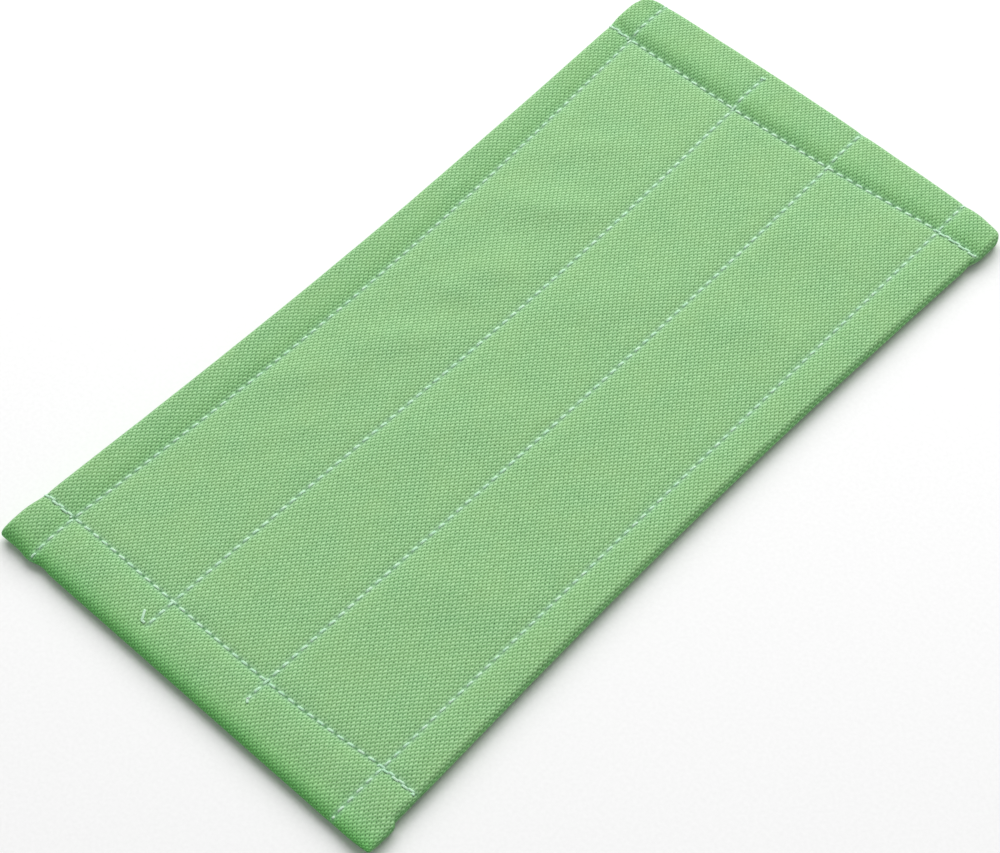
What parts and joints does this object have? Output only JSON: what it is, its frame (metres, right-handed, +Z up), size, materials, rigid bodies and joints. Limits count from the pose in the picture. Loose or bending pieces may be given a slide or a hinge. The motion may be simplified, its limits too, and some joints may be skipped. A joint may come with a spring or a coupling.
{
  "type": "flat mop pad",
  "caption": "Rectangular quilted flat mop pad: a woven face cloth hemmed on all sides, a felt core and a mopping cloth, sewn with lockstitch rows and folding along its inner rows.",
  "frame": {"origin": "middle of the mopping side, on the surface that the pad lies on", "axes": "+Y along the pad's length towards the far end hem, +X across its width, +Z up through its layers from the mopping side to the woven face"},
  "size_m": [0.144, 0.268, 0.0064],
  "materials": {
    "face_cloth": "coarse plain weave",
    "mop_cloth": "looped pile",
    "felt": "needled felt",
    "thread": "twisted polyester thread"
  },
  "bodies": {
    "centre_panel": {"face_cloth_centre": "face_cloth", "felt_core_centre": "felt", "mop_cloth_centre": "mop_cloth", "needle_thread_quilt_left": "thread", "needle_thread_quilt_right": "thread", "needle_thread_near_centre": "thread", "needle_thread_far_centre": "thread", "bobbin_thread_quilt_left": "thread", "bobbin_thread_quilt_right": "thread", "bobbin_thread_near_centre": "thread", "bobbin_thread_far_centre": "thread"},
    "left_panel": {"face_cloth_left": "face_cloth", "felt_core_left": "felt", "mop_cloth_left": "mop_cloth", "needle_thread_side_left": "thread", "needle_thread_near_left": "thread", "needle_thread_far_left": "thread", "bobbin_thread_side_left": "thread", "bobbin_thread_near_left": "thread", "bobbin_thread_far_left": "thread"},
    "right_panel": {"face_cloth_right": "face_cloth", "felt_core_right": "felt", "mop_cloth_right": "mop_cloth", "needle_thread_side_right": "thread", "needle_thread_near_right": "thread", "needle_thread_far_right": "thread", "bobbin_thread_side_right": "thread", "bobbin_thread_near_right": "thread", "bobbin_thread_far_right": "thread"}
  },
  "joints": [
    {"name": "left_fold", "type": "hinge", "parent": "centre_panel", "child": "left_panel", "pos_m": [-0.01925, 0, 0.003], "axis": [0, 1, 0], "range_deg": [-90, 90], "stiffness_Nm_per_rad": 0.03},
    {"name": "right_fold", "type": "hinge", "parent": "centre_panel", "child": "right_panel", "pos_m": [0.01925, 0, 0.003], "axis": [0, -1, 0], "range_deg": [-90, 90], "stiffness_Nm_per_rad": 0.03}
  ]
}
